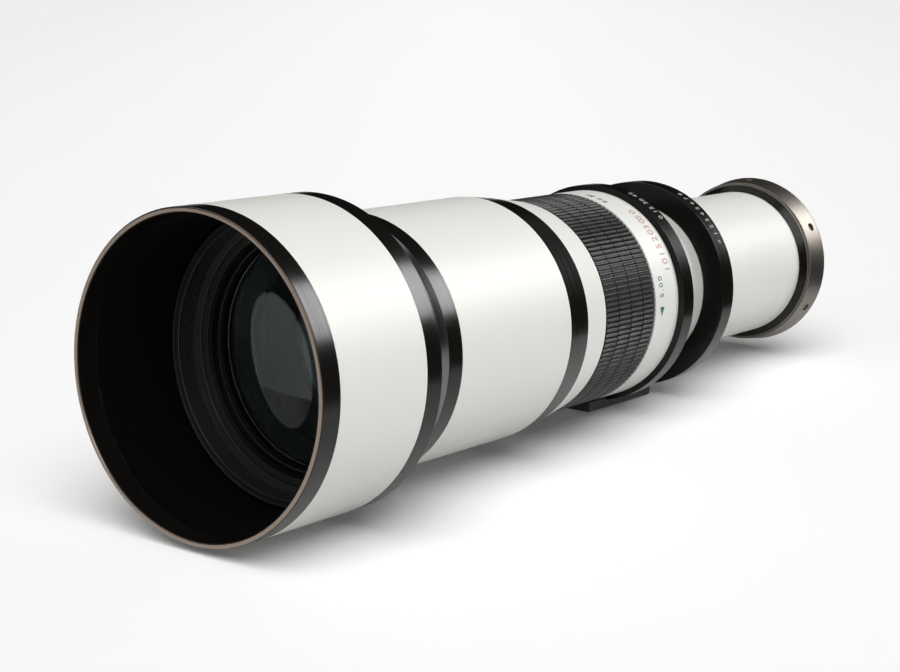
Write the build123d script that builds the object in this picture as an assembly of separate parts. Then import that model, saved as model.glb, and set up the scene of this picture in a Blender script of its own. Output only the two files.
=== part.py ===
from build123d import *
import math
import os

# Telephoto zoom lens with a hood, a focus ring, a push-pull rear tube,
# a rotating tripod collar and a metal camera adapter.
#
# Millimetres. The optical axis is X. The front of the lens points to -X and
# the camera sits at +X. +Z is up, and the tripod foot hangs at -Z.
# The origin is on the axis, in the plane of the adapter's rear flange face.

# Lengths along the axis, in the order of the visible bands, from front to rear
hood_length = 68.0
hood_front_band = 9.7
hood_rear_band = 9.3
hood_to_barrel = 16.8
front_band_width = 8.7
barrel_length = 75.2
taper_band_width = 15.4
name_band_width = 18.0
grip_width = 41.3
scale_width = 19.9
collar_width = 9.3
mid_tube_shown = 28.4
lock_face_depth = 2.1
lock_rim_width = 9.9
rear_tube_shown = 91.2
end_lip_width = 2.6
adapter_depth = 13.7

# The barrel's outer radius drives every other radius, each by a step from its neighbour
barrel_radius = 53.0
hood_step = 9.9
taper_step = 1.8
name_band_step = 2.7
collar_step = 2.4
lock_step = 0.9
end_lip_step = 3.2
adapter_step = 0.4
flange_step = 2.6

# Clearances: a moving piece in its guide, a turned seat, a pin in a slot, two rings end to end
slide_gap = 0.3
seat_gap = 0.05
pin_gap = 0.3
end_gap = 0.4

# How far a cutting tool runs past the wall that it cuts
cut_over = 1.0

# Hood
hood_wall = 2.2
rim_round = 0.7
liner_thickness = 0.6
liner_set_back = 1.0
sleeve_lip_step = 3.2
sleeve_bore_step = 2.4
sleeve_depth = 13.5
sleeve_lip_depth = 4.7
sleeve_lip_face = 1.2
web_thickness = 9.2
hood_rear_recess = 0.8

# Objective cell in the front of the barrel
cell_thread_step = 1.15
cell_wall = 4.35
cell_mouth = 1.4
cell_front_inset = 0.4
filter_thread_depth = 4.9
thread_step = 0.6
relief_depth = 1.65
relief_width = 8.0
cell_neck_length = 6.5
cell_ledge_height = 2.4
cell_ledge_thickness = 2.0
cell_rear_wall = 1.6
retainer_width = 2.4
retainer_wall = 1.1
front_glass_edge = 5.0
front_glass_curve = 480.0
front_glass_back_curve = 420.0
spacer_width = 3.0
second_glass_curve = 390.0
second_glass_edge = 6.0

# Barrel
barrel_wall = 2.4
baffle_thickness = 1.5
baffle_height = 7.55
baffle_place = 0.35
cone_wall = 2.5
cone_web = 3.2
inner_barrel_wall = 1.8
inner_flange_width = 9.0
rear_plate_thickness = 3.0
rear_plate_step = 0.9
rear_plate_edge = 0.8

# Focus ring, helical grooves and the focus carriage
grip_thickness = 1.7
sleeve_wall = 2.5
grip_rows = 4
grip_row_gap = 0.9
grip_border = 1.2
grip_ribs = 132
grip_rib_depth = 0.7
grip_rib_share = 0.72
grip_base_overlap = 1.0
scale_edge_groove = 0.35
scale_groove_inset = 2.6
focus_turn_each_way = 90.0
focus_travel_each_way = 6.0
focus_pin_radius = 2.0
focus_pin_count = 3
focus_pin_inset = 11.5
groove_floor_wall = 0.6
carriage_wall = 1.8
carriage_ahead = 68.0
carriage_behind = 8.0
carriage_ledge_place = 12.0
carriage_ledge_thickness = 2.0
carriage_ledge_height = 3.1
focus_glass_edge = 4.0
focus_glass_curve = 180.0
focus_back_edge = 9.0
focus_back_curve = 150.0
focus_retainer_width = 1.6

# Tripod collar, foot and clamp knob
collar_chamfer_width = 2.5
foot_length = 53.5
foot_overhang = 28.4
foot_half_width = 12.5
foot_drop = 2.1
foot_thickness = 4.7
foot_grip_gap = 0.7
foot_edge = 0.8
quarter_inch_radius = 3.175
quarter_inch_inset = 20.0
three_eighths_radius = 4.7625
three_eighths_inset = 8.0
foot_screw_radius = 1.5
foot_screw_head_radius = 2.8
foot_screw_head_depth = 1.4
foot_screw_sink = 0.4
foot_screw_spread = 7.0
foot_screw_reach = 5.0
knob_boss_radius = 4.4
knob_boss_height = 3.2
knob_stem_radius = 2.0
knob_head_radius = 7.5
knob_head_length = 8.0
knob_teeth = 18
knob_tooth_depth = 0.6
knob_tooth_share = 0.5
knob_neck_length = 1.5
knob_neck_radius = 3.4

# Push-pull tube
zoom_travel = 70.0
zoom_spare = 2.0
mid_tube_step = 2.95
mid_tube_wall = 2.1
mid_tube_seat_length = 36.0
rear_tube_wall = 1.9
rear_tube_inside = 51.0
collet_width = 4.1
collet_split = 3.0
lock_hub_wall = 2.4
lock_rim_wall = 3.4
lock_web = 6.5
lock_lip_gap = 0.4
lock_lip_width = 3.7
lock_edge = 0.8
lock_front_edge = 0.4
key_width = 4.4
key_length = 8.0
key_height = 1.1
key_inset = 2.0
zoom_carriage_place = 8.0
zoom_carriage_length = 26.0
zoom_carriage_wall = 1.9
zoom_ledge_height = 2.7
zoom_ledge_thickness = 2.0
zoom_glass_edge = 6.0
zoom_glass_curve = 140.0
zoom_back_edge = 4.0
zoom_back_curve = 160.0

# Rear end, threaded spigot and adapter
end_sleeve_length = 10.0
end_sleeve_wall = 2.85
spigot_radius = 20.9
spigot_bore_radius = 18.5
spigot_length = 9.4
end_wall = 2.6
rear_cell_length = 15.0
rear_cell_wall = 3.2
rear_glass_edge = 3.6
rear_glass_curve = 110.0
rear_glass_rim = 1.5
adapter_wall = 2.4
flange_thickness = 2.6
flange_bevel = 0.65
adapter_ring_hub = 3.2
adapter_ring_web = 3.6
adapter_ring_rim = 3.0
adapter_ring_front_gap = 1.2
grub_screw_radius = 1.5
grub_screw_count = 6
grub_screw_inset = 5.5
grub_screw_length = 3.2
grub_screw_sink = 0.3
grub_slot_width = 0.5
grub_slot_depth = 0.6
throat_radius = 24.5
throat_wall = 2.5
throat_length = 4.6
claw_height = 2.4
claw_thickness = 1.5
claw_root = 1.25
claw_count = 3
claw_angle = 54.0

# Stations along X, worked out from the rear flange face towards the front
flange_face = 0.0
adapter_front = flange_face - adapter_depth
tube_rear = adapter_front - end_lip_width
lock_rear = tube_rear - rear_tube_shown
lock_rim_front = lock_rear - lock_rim_width
lock_front = lock_rim_front - lock_face_depth
collar_rear = lock_front - mid_tube_shown
collar_front = collar_rear - collar_width
scale_front = collar_front - scale_width
grip_front = scale_front - grip_width
taper_rear = grip_front - name_band_width
barrel_rear = taper_rear - taper_band_width
barrel_front = barrel_rear - barrel_length
band_front = barrel_front - front_band_width
hood_rear = band_front - hood_to_barrel
hood_front = hood_rear - hood_length

# Radii, each worked out from the piece that carries it
taper_end_radius = barrel_radius - taper_step
ring_radius = taper_end_radius - name_band_step
sleeve_radius = ring_radius - grip_thickness
sleeve_bore = sleeve_radius - sleeve_wall
inner_barrel_radius = sleeve_bore - slide_gap
inner_barrel_bore = inner_barrel_radius - inner_barrel_wall
mid_tube_radius = inner_barrel_bore - seat_gap - mid_tube_step
mid_tube_bore = mid_tube_radius - mid_tube_wall
rear_tube_radius = mid_tube_bore - slide_gap
rear_tube_bore = rear_tube_radius - rear_tube_wall
end_lip_radius = rear_tube_radius + end_lip_step
adapter_radius = end_lip_radius + adapter_step
flange_radius = adapter_radius + flange_step
collar_radius = ring_radius + collar_step
lock_radius = ring_radius + lock_step
rear_plate_radius = ring_radius - rear_plate_step
hood_radius = barrel_radius + hood_step
hood_bore = hood_radius - hood_wall
sleeve_lip_radius = hood_bore - sleeve_lip_step
sleeve_bore_radius = sleeve_lip_radius - sleeve_bore_step
cell_thread_radius = barrel_radius - cell_thread_step
relief_radius = cell_thread_radius - relief_depth
filter_thread_radius = cell_thread_radius - cell_wall
cell_face_radius = filter_thread_radius + cell_mouth
foot_bottom = collar_radius + foot_drop
foot_top = foot_bottom - foot_thickness

# Places of the inner pieces, each from the piece that carries it
web_rear = hood_rear - hood_rear_recess
web_front = web_rear - web_thickness
sleeve_front = web_front - sleeve_depth
cell_front = web_front + cell_front_inset
retainer_front = cell_front + filter_thread_depth
front_glass_front = retainer_front + retainer_width
front_glass_rear = front_glass_front + front_glass_edge
spacer_rear = front_glass_rear + spacer_width
second_glass_rear = spacer_rear + second_glass_edge
cell_rear = barrel_front + cell_neck_length
glass_seat_radius = filter_thread_radius - thread_step
glass_radius = glass_seat_radius - seat_gap
objective_clear = glass_radius - retainer_wall
cell_ledge_radius = glass_seat_radius - cell_ledge_height
focus_groove_floor = sleeve_radius - groove_floor_wall
carriage_radius = inner_barrel_bore - slide_gap
carriage_bore = carriage_radius - carriage_wall
focus_clear = carriage_bore - carriage_ledge_height
focus_pin_x = grip_front + focus_pin_inset
carriage_front = focus_pin_x - carriage_ahead
carriage_rear = focus_pin_x + carriage_behind
focus_ledge_front = carriage_front + carriage_ledge_place
focus_ledge_rear = focus_ledge_front + carriage_ledge_thickness
focus_lead = focus_travel_each_way * 360.0 / focus_turn_each_way
lock_lip_front = lock_rear - lock_lip_width
collet_rear = lock_lip_front - slide_gap
collet_front = collet_rear - collet_width
rear_tube_front = lock_rear - rear_tube_inside
mid_tube_front = rear_tube_front - zoom_travel - zoom_spare
zoom_carriage_front = rear_tube_front + zoom_carriage_place
zoom_carriage_radius = rear_tube_bore - slide_gap
zoom_carriage_bore = zoom_carriage_radius - zoom_carriage_wall
zoom_ledge_radius = zoom_carriage_bore - zoom_ledge_height
zoom_ledge_front = zoom_carriage_front + zoom_glass_edge + zoom_ledge_thickness
zoom_ledge_rear = zoom_ledge_front + zoom_ledge_thickness
end_sleeve_front = tube_rear - end_sleeve_length
rear_cell_front = end_sleeve_front - rear_cell_length
spigot_front = adapter_front + slide_gap
spigot_rear = spigot_front + spigot_length
adapter_bore = adapter_radius - adapter_wall
adapter_ring_radius = adapter_bore - 2 * seat_gap
adapter_ring_rear = flange_face - flange_thickness
grub_screw_x = flange_face - grub_screw_inset
foot_rear = collar_rear + foot_overhang
foot_front = foot_rear - foot_length
collar_middle = (collar_front + collar_rear) / 2


def turned(points):
    """Closed profile of (station, radius) points turned about the lens axis."""
    return revolve(make_face(Polyline(*points, close=True)), Axis.X, 360)


def ring(front, rear, inner, outer, edge=0.0):
    """Plain ring, with its two outer edges chamfered by edge."""
    if edge == 0.0:
        return turned([(front, inner), (front, outer), (rear, outer), (rear, inner)])
    return turned([
        (front, inner), (front, outer - edge), (front + edge, outer),
        (rear - edge, outer), (rear, outer - edge), (rear, inner),
    ])


def sag(radius, curve):
    """Depth of a spherical face at a distance radius from the axis, signed like its curve."""
    if curve == 0.0:
        return 0.0
    depth = abs(curve) - math.sqrt(curve * curve - radius * radius)
    return math.copysign(depth, curve)


def glass(front, rear, radius, clear, front_curve, rear_curve):
    """Lens element with a cylindrical edge and flat rims outside the clear radius.

    A curve is the radius of a polished face: positive bulges out, negative is
    hollow, and zero is flat.
    """
    outline = [
        *polished_face(front, clear, front_curve, -1),
        Line((front, clear), (front, radius)),
        Line((front, radius), (rear, radius)),
        Line((rear, radius), (rear, clear)),
        *polished_face(rear, clear, rear_curve, 1),
    ]
    front_pole = front - sag(clear, front_curve)
    rear_pole = rear + sag(clear, rear_curve)
    outline.append(Line((rear_pole, 0), (front_pole, 0)))
    return revolve(make_face(outline), Axis.X, 360)


def polished_face(rim, clear, curve, side):
    """Outline of one polished face, from the axis to its rim; side is -1 in front, 1 behind."""
    pole = rim + side * sag(clear, curve)
    if curve == 0.0:
        return [Line((pole, 0), (rim, clear))]
    half_angle = math.asin(clear / abs(curve)) / 2
    rise = abs(curve) * math.sin(half_angle)
    middle = pole - side * sag(rise, curve)
    return [ThreePointArc((pole, 0), (middle, rise), (rim, clear))]


def cylinder_x(front, rear, radius):
    """Solid cylinder on the lens axis."""
    return turned([(front, 0), (front, radius), (rear, radius), (rear, 0)])


def radial_pin(station, angle, low, high, radius):
    """Cylinder that points away from the axis, angle measured from +Z about +X."""
    pin = Pos(station, 0, (low + high) / 2) * Cylinder(radius, high - low)
    return Rot(angle, 0, 0) * pin


def around(count, start=0.0):
    """Angles of an even pattern about the axis."""
    return [start + 360.0 * step / count for step in range(count)]


def toothed_disc(count, outer, depth, share, length):
    """Prism along Z with square teeth: share of each pitch stands proud by depth."""
    pitch = 2 * math.pi / count
    floor = outer - depth
    corners = []
    for step in range(count):
        low = (step - share / 2) * pitch
        high = (step + share / 2) * pitch
        gap_end = (step + 1 - share / 2) * pitch
        corners.append((outer * math.cos(low), outer * math.sin(low)))
        corners.append((outer * math.cos(high), outer * math.sin(high)))
        corners.append((floor * math.cos(high), floor * math.sin(high)))
        corners.append((floor * math.cos(gap_end), floor * math.sin(gap_end)))
    return extrude(make_face(Polyline(*corners, close=True)), length)


# Hood


def make_hood_front_rim():
    """Black front rim, with a rounded outer corner."""
    rear = hood_front + hood_front_band
    start = (hood_front, hood_bore)
    corner_start = (hood_front, hood_radius - rim_round)
    corner_end = (hood_front + rim_round, hood_radius)
    outline = [
        Line(start, corner_start),
        RadiusArc(corner_start, corner_end, rim_round),
        Line(corner_end, (rear, hood_radius)),
        Line((rear, hood_radius), (rear, hood_bore)),
        Line((rear, hood_bore), start),
    ]
    return revolve(make_face(outline), Axis.X, 360)


def make_hood_shell():
    """White tube between the two black bands."""
    front = hood_front + hood_front_band
    rear = hood_rear - hood_rear_band
    return ring(front, rear, hood_bore, hood_radius)


def make_hood_rear_rim():
    """Black rear band of the hood tube."""
    front = hood_rear - hood_rear_band
    return turned([
        (front, hood_bore), (front, hood_radius), (hood_rear - rim_round, hood_radius),
        (hood_rear, hood_radius - rim_round), (hood_rear, hood_bore),
    ])


def make_hood_liner():
    """Flocked liner on the hood's inner wall, set back from the front rim."""
    front = hood_front + hood_front_band + liner_set_back
    outer = hood_bore - seat_gap
    return ring(front, web_front - seat_gap, outer - liner_thickness, outer)


def make_hood_mount_ring():
    """Ring that closes the hood at its rear, with a light-trap sleeve standing forward."""
    lip_rear = sleeve_front + sleeve_lip_depth
    return turned([
        (sleeve_front, sleeve_lip_radius), (web_front, sleeve_lip_radius),
        (web_front, hood_bore - seat_gap), (web_rear, hood_bore - seat_gap),
        (web_rear, cell_thread_radius + slide_gap), (web_front, cell_thread_radius + slide_gap),
        (web_front - sleeve_lip_face, sleeve_bore_radius), (lip_rear, sleeve_bore_radius),
        (sleeve_front, sleeve_lip_radius - sleeve_lip_face),
    ])


# Objective cell


def make_front_cell():
    """Black cell that holds the objective, threaded outside for the hood and inside for a filter."""
    relief_front = band_front - relief_width
    ledge_front = second_glass_rear + seat_gap
    ledge_rear = ledge_front + cell_ledge_thickness
    rear_bore = relief_radius - cell_rear_wall
    return turned([
        (cell_front, cell_face_radius), (cell_front, cell_thread_radius),
        (relief_front, cell_thread_radius), (relief_front, relief_radius),
        (cell_rear, relief_radius), (cell_rear, rear_bore), (ledge_rear, rear_bore),
        (ledge_rear, cell_ledge_radius), (ledge_front, cell_ledge_radius),
        (ledge_front, glass_seat_radius), (retainer_front, glass_seat_radius),
        (retainer_front, filter_thread_radius), (cell_front + cell_mouth, filter_thread_radius),
    ])


def make_front_retaining_ring():
    """Thin threaded ring that holds the objective in its cell, with two spanner slots."""
    rear = front_glass_front - seat_gap
    body = ring(retainer_front, rear, objective_clear, glass_radius)
    slot = Box(retainer_width, 2 * filter_thread_radius, retainer_wall)
    return body - Pos(retainer_front, 0, 0) * slot


def make_front_element():
    """Large convex front glass."""
    return glass(
        front_glass_front, front_glass_rear, glass_radius, objective_clear,
        front_glass_curve, front_glass_back_curve
    )


def make_element_spacer():
    """Thin ring between the two glasses of the objective."""
    front = front_glass_rear + seat_gap
    return ring(front, spacer_rear - seat_gap, objective_clear, glass_radius)


def make_second_element():
    """Second glass of the objective, hollow at the front and flat at the rear."""
    return glass(
        spacer_rear, second_glass_rear, glass_radius, objective_clear, -second_glass_curve, 0.0
    )


# Barrel


def make_front_band():
    """Black band clamped between the objective cell and the white barrel."""
    bevel = rim_round
    return turned([
        (band_front, relief_radius + seat_gap), (band_front, barrel_radius - bevel),
        (band_front + bevel, barrel_radius), (barrel_front, barrel_radius),
        (barrel_front, relief_radius + seat_gap),
    ])


def make_main_barrel():
    """White front barrel tube."""
    return ring(barrel_front, barrel_rear, barrel_radius - barrel_wall, barrel_radius)


def make_light_baffle():
    """Thin disc with a round opening that stops stray light in the barrel."""
    middle = barrel_front + barrel_length * baffle_place
    outer = barrel_radius - barrel_wall - seat_gap
    return ring(middle, middle + baffle_thickness, outer - baffle_height, outer)


def make_taper_band():
    """Black tapered band behind the white barrel: a shell with a web that seats it."""
    web_end = barrel_rear + cone_web
    seat = inner_barrel_radius + seat_gap
    return turned([
        (barrel_rear, seat), (barrel_rear, barrel_radius), (taper_rear, taper_end_radius),
        (taper_rear, taper_end_radius - cone_wall), (web_end, barrel_radius - 2 * cone_wall),
        (web_end, seat),
    ])


def make_name_band():
    """White tapered band in front of the focus ring, seated by a web at its rear."""
    web_start = grip_front - cone_web
    seat = inner_barrel_radius + seat_gap
    return turned([
        (taper_rear, taper_end_radius - cone_wall), (taper_rear, taper_end_radius),
        (grip_front, ring_radius), (grip_front, seat), (web_start, seat),
        (web_start, ring_radius - cone_wall),
    ])


def make_inner_barrel():
    """Structural tube behind the white barrel, with three straight slots for the focus pins."""
    flange_front = barrel_rear - inner_flange_width
    flange = barrel_radius - barrel_wall - seat_gap
    body = turned([
        (flange_front, inner_barrel_bore), (flange_front, flange), (barrel_rear, flange),
        (barrel_rear, inner_barrel_radius), (collar_rear, inner_barrel_radius),
        (collar_rear, inner_barrel_bore),
    ])
    slot_radius = focus_pin_radius + pin_gap
    for angle in around(focus_pin_count):
        body -= straight_slot(angle, slot_radius)
    return body


def straight_slot(angle, slot_radius):
    """Round-ended slot along X, as long as the focus travel, cut through the inner barrel."""
    outline = SlotCenterToCenter(2 * focus_travel_each_way, 2 * slot_radius)
    cut = extrude(outline, inner_barrel_wall + cut_over, both=True)
    return Rot(angle, 0, 0) * Pos(focus_pin_x, 0, inner_barrel_radius) * cut


def make_rear_plate():
    """Black disc screwed to the inner barrel's rear end, which keeps the collar in place."""
    rear = collar_rear + rear_plate_thickness
    return ring(collar_rear, rear, mid_tube_radius + seat_gap, rear_plate_radius, rear_plate_edge)


def make_mid_tube():
    """White fixed tube that guides the sliding rear tube, with two keyways inside."""
    seat_front = collar_rear - mid_tube_seat_length
    seat_radius = inner_barrel_bore - seat_gap
    body = turned([
        (mid_tube_front, mid_tube_bore), (mid_tube_front, mid_tube_radius),
        (seat_front, mid_tube_radius), (seat_front, seat_radius),
        (collar_rear, seat_radius), (collar_rear, mid_tube_radius),
        (collet_front - slide_gap, mid_tube_radius), (collet_front - slide_gap, mid_tube_bore),
    ])
    keyway_rear = rear_tube_front + key_inset + key_length + pin_gap
    length = keyway_rear - mid_tube_front + cut_over
    width = key_width + 2 * pin_gap
    reach = rear_tube_radius + key_height + pin_gap
    keyway = Pos(keyway_rear - length / 2, 0, 0) * Box(length, 2 * reach, width)
    return body - keyway


# Focus ring


def make_focus_sleeve():
    """Turning sleeve, with three helical grooves inside that drive the focus pins."""
    body = ring(grip_front + end_gap, collar_front - end_gap, sleeve_bore, sleeve_radius)
    for angle in around(focus_pin_count):
        body -= helical_groove(angle)
    return body


def helical_groove(angle):
    """Right-handed groove centred on the focus pin at angle, longer than its travel by one pin."""
    width = 2 * (focus_pin_radius + pin_gap)
    inner = sleeve_bore - slide_gap
    depth = focus_groove_floor - inner
    middle = inner + depth / 2
    turns = 2 * focus_turn_each_way / 360 + width / (math.pi * middle)
    height = focus_lead * turns
    path = Helix(focus_lead, height, middle)
    section = Plane(origin=path @ 0, x_dir=(1, 0, 0), z_dir=path % 0) * Rectangle(depth, width)
    cut = sweep(section, path, is_frenet=True)
    lying = Pos(focus_pin_x - height / 2, 0, 0) * Rot(0, 90, 0) * cut
    return Rot(angle + 180 - 180 * turns, 0, 0) * lying


def make_focus_grip():
    """Rubber grip: four rows of low ribs in line, parted by shallow rings."""
    inner = sleeve_radius + seat_gap
    front = grip_front + end_gap
    first = front + grip_border
    row = (scale_front - grip_border - first - (grip_rows - 1) * grip_row_gap) / grip_rows
    body = ring(front, scale_front, inner, ring_radius - grip_rib_depth)
    disc = toothed_disc(grip_ribs, ring_radius, grip_rib_depth, grip_rib_share, row)
    bore = Cylinder(ring_radius - grip_base_overlap, 2 * (row + cut_over))
    ribs = Rot(0, 90, 0) * (disc - bore)
    for index in range(grip_rows):
        body += Pos(first + index * (row + grip_row_gap), 0, 0) * ribs
    return body


def make_scale_ring():
    """White distance scale ring, with a fine groove near its rear edge."""
    rear = collar_front - end_gap
    groove = rear - scale_groove_inset
    depth = scale_edge_groove
    inner = sleeve_radius + seat_gap
    return turned([
        (scale_front, inner), (scale_front, ring_radius), (groove - depth, ring_radius),
        (groove, ring_radius - depth), (groove + depth, ring_radius),
        (rear, ring_radius), (rear, inner),
    ])


# Focus carriage


def make_focus_carriage():
    """Tube that slides in the inner barrel, with a ledge between its two glasses."""
    body = turned([
        (carriage_front, carriage_bore), (carriage_front, carriage_radius),
        (carriage_rear, carriage_radius), (carriage_rear, carriage_bore),
        (focus_ledge_rear, carriage_bore), (focus_ledge_rear, focus_clear),
        (focus_ledge_front, focus_clear), (focus_ledge_front, carriage_bore),
    ])
    hole_radius = focus_pin_radius + seat_gap
    low = carriage_bore - cut_over
    high = carriage_radius + cut_over
    for angle in around(focus_pin_count):
        body -= radial_pin(focus_pin_x, angle, low, high, hole_radius)
    return body


def make_focus_pins():
    """Three pins that pass from the carriage through the slots into the helical grooves."""
    pins = []
    for angle in around(focus_pin_count):
        high = focus_groove_floor - pin_gap
        pins.append(radial_pin(focus_pin_x, angle, carriage_bore, high, focus_pin_radius))
    return Compound(children=pins)


def make_focus_front_element():
    """Convex glass in front of the carriage ledge."""
    radius = carriage_bore - seat_gap
    rear = focus_ledge_front - seat_gap
    return glass(rear - focus_glass_edge, rear, radius, focus_clear, focus_glass_curve, 0.0)


def make_focus_retaining_ring():
    """Ring that holds the front glass of the carriage."""
    rear = focus_ledge_front - 2 * seat_gap - focus_glass_edge
    return ring(rear - focus_retainer_width, rear, focus_clear, carriage_bore - seat_gap)


def make_focus_rear_element():
    """Hollow glass behind the carriage ledge."""
    radius = carriage_bore - seat_gap
    front = focus_ledge_rear + seat_gap
    rear = front + focus_back_edge
    return glass(front, rear, radius, focus_clear, 0.0, -focus_back_curve)


# Tripod collar


def make_collar_ring():
    """Black collar that turns on the inner barrel, with a boss for its clamp knob."""
    bore = inner_barrel_radius + slide_gap
    chamfer_end = collar_front + collar_chamfer_width
    body = turned([
        (collar_front, bore), (collar_front, ring_radius), (chamfer_end, collar_radius),
        (collar_rear, collar_radius), (collar_rear, bore),
    ])
    boss_top = collar_radius + knob_boss_height
    knob_hole = knob_stem_radius + seat_gap
    body += radial_pin(collar_middle, -90, bore + cut_over, boss_top, knob_boss_radius)
    body -= radial_pin(collar_middle, -90, bore - cut_over, boss_top + cut_over, knob_hole)
    low = foot_screw_tip() - seat_gap
    for side in (-1, 1):
        hole = Cylinder(foot_screw_radius + seat_gap, collar_radius - low)
        body -= Pos(collar_middle, side * foot_screw_spread, -(low + collar_radius) / 2) * hole
    return body


def foot_screw_tip():
    """Distance of the foot screws' tips below the axis."""
    return collar_radius - foot_screw_reach


def make_tripod_foot():
    """Foot plate under the collar, hollowed over the focus ring, with two tripod threads."""
    block = Pos((foot_front + foot_rear) / 2, 0, -(foot_bottom + foot_top) / 2) * Box(
        foot_length, 2 * foot_half_width, foot_thickness
    )
    block = chamfer(block.faces().sort_by(Axis.Z)[0].edges(), foot_edge)
    block -= cylinder_x(foot_front - cut_over, collar_front, ring_radius + foot_grip_gap)
    block -= cylinder_x(collar_front - cut_over, collar_rear, collar_radius + seat_gap)
    for inset, radius in tripod_threads():
        block -= Pos(foot_rear - inset, 0, -foot_top) * Cylinder(radius, 2 * (foot_thickness + cut_over))
    for side in (-1, 1):
        block -= foot_screw(side, seat_gap)
    return block


def tripod_threads():
    """Inset from the foot's rear end and radius of the two tripod threads."""
    return [(quarter_inch_inset, quarter_inch_radius), (three_eighths_inset, three_eighths_radius)]


def foot_screw(side, gap):
    """Countersunk screw that points up through the foot into the collar, grown by gap."""
    bottom = foot_bottom - foot_screw_sink + gap
    neck = bottom - foot_screw_head_depth
    tip = foot_screw_tip()
    head = foot_screw_head_radius + gap
    shank = foot_screw_radius + gap
    outline = Polyline(
        (0, -bottom), (head, -bottom), (shank, -neck), (shank, -tip), (0, -tip), close=True
    )
    screw = revolve(make_face(Plane.XZ * outline), Axis.Z, 360)
    return Pos(collar_middle, side * foot_screw_spread, 0) * screw


def make_foot_screws():
    """Two screws that hold the foot to the collar."""
    return Compound(children=[foot_screw(side, 0.0) for side in (-1, 1)])


def make_collar_knob():
    """Knurled clamp knob on the far side of the collar, with its stem in the boss."""
    seat = collar_radius + knob_boss_height + slide_gap
    tip = inner_barrel_radius + slide_gap
    head_start = seat + knob_neck_length
    stem = Pos(0, 0, (tip + seat) / 2) * Cylinder(knob_stem_radius - seat_gap, seat - tip)
    neck = Pos(0, 0, seat + knob_neck_length / 2) * Cylinder(knob_neck_radius, knob_neck_length)
    head = toothed_disc(knob_teeth, knob_head_radius, knob_tooth_depth, knob_tooth_share, knob_head_length)
    knob = stem + neck + Pos(0, 0, head_start) * head
    return Rot(-90, 0, 0) * knob.moved(Location((collar_middle, 0, 0)))


# Push-pull rear tube


def make_zoom_lock_ring():
    """Large black ring round the tube's mouth, turned to lock the push-pull movement."""
    bore = mid_tube_radius + slide_gap
    hub = bore + lock_hub_wall
    rim_inner = lock_radius - lock_rim_wall
    web_rear_face = lock_front + lock_web
    lip_bore = rear_tube_radius + lock_lip_gap
    return turned([
        (lock_front, bore), (lock_rim_front, lock_radius - lock_front_edge),
        (lock_rim_front + lock_front_edge, lock_radius), (lock_rear - lock_edge, lock_radius),
        (lock_rear, lock_radius - lock_edge), (lock_rear, rim_inner),
        (web_rear_face, rim_inner), (web_rear_face, hub), (lock_rear, hub),
        (lock_rear, lip_bore), (lock_lip_front, lip_bore), (lock_lip_front, bore),
    ])


def make_lock_collet():
    """Split ring that the lock ring squeezes on to the tube."""
    body = ring(collet_front, collet_rear, mid_tube_bore, mid_tube_radius)
    height = mid_tube_radius - mid_tube_bore + 2 * cut_over
    gap = Box(collet_width + 2 * cut_over, collet_split, height)
    return body - Pos((collet_front + collet_rear) / 2, 0, (mid_tube_bore + mid_tube_radius) / 2) * gap


def make_rear_tube():
    """White sliding tube that carries the camera end."""
    return ring(rear_tube_front, tube_rear, rear_tube_bore, rear_tube_radius)


def make_tube_keys():
    """Two keys on the tube's front end, which run in the fixed tube's keyways."""
    front = rear_tube_front + key_inset
    keys = []
    for side in (-1, 1):
        block = Pos(front + key_length / 2, side * rear_tube_radius, 0) * Box(
            key_length, 2 * key_height, key_width
        )
        keys.append(block - cylinder_x(front - cut_over, front + key_length + cut_over, rear_tube_radius))
    return Compound(children=keys)


def make_zoom_carriage():
    """Tube inside the sliding tube, with a ledge between its two glasses."""
    front = zoom_carriage_front
    rear = front + zoom_carriage_length
    return turned([
        (front, zoom_carriage_bore), (front, zoom_carriage_radius),
        (rear, zoom_carriage_radius), (rear, zoom_carriage_bore),
        (zoom_ledge_rear, zoom_carriage_bore), (zoom_ledge_rear, zoom_ledge_radius),
        (zoom_ledge_front, zoom_ledge_radius), (zoom_ledge_front, zoom_carriage_bore),
    ])


def make_zoom_front_element():
    """Hollow glass in front of the ledge."""
    radius = zoom_carriage_bore - seat_gap
    rear = zoom_ledge_front - seat_gap
    return glass(rear - zoom_glass_edge, rear, radius, zoom_ledge_radius, -zoom_glass_curve, 0.0)


def make_zoom_rear_element():
    """Convex glass behind the ledge."""
    radius = zoom_carriage_bore - seat_gap
    front = zoom_ledge_rear + seat_gap
    rear = front + zoom_back_edge
    return glass(front, rear, radius, zoom_ledge_radius, 0.0, zoom_back_curve)


# Rear end and adapter


def make_tube_end_ring():
    """Black ring in the tube's rear end: a lip, a tapered bore and the adapter's spigot."""
    sleeve_outer = rear_tube_bore - seat_gap
    wall_rear = adapter_front
    return turned([
        (end_sleeve_front, sleeve_outer - end_sleeve_wall), (end_sleeve_front, sleeve_outer),
        (tube_rear, sleeve_outer), (tube_rear, end_lip_radius), (wall_rear, end_lip_radius),
        (wall_rear, spigot_radius), (spigot_rear, spigot_radius),
        (spigot_rear, spigot_bore_radius), (wall_rear - end_wall, spigot_bore_radius),
    ])


def make_rear_cell():
    """Cell with the rear glass, held in the tube by the end ring."""
    outer = rear_tube_bore - seat_gap
    inner = outer - rear_cell_wall
    rear = end_sleeve_front - seat_gap
    ledge = rear_cell_front + rear_cell_wall
    return turned([
        (rear_cell_front, inner - rear_cell_wall), (rear_cell_front, outer), (rear, outer),
        (rear, inner), (ledge, inner), (ledge, inner - rear_cell_wall),
    ])


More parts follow.
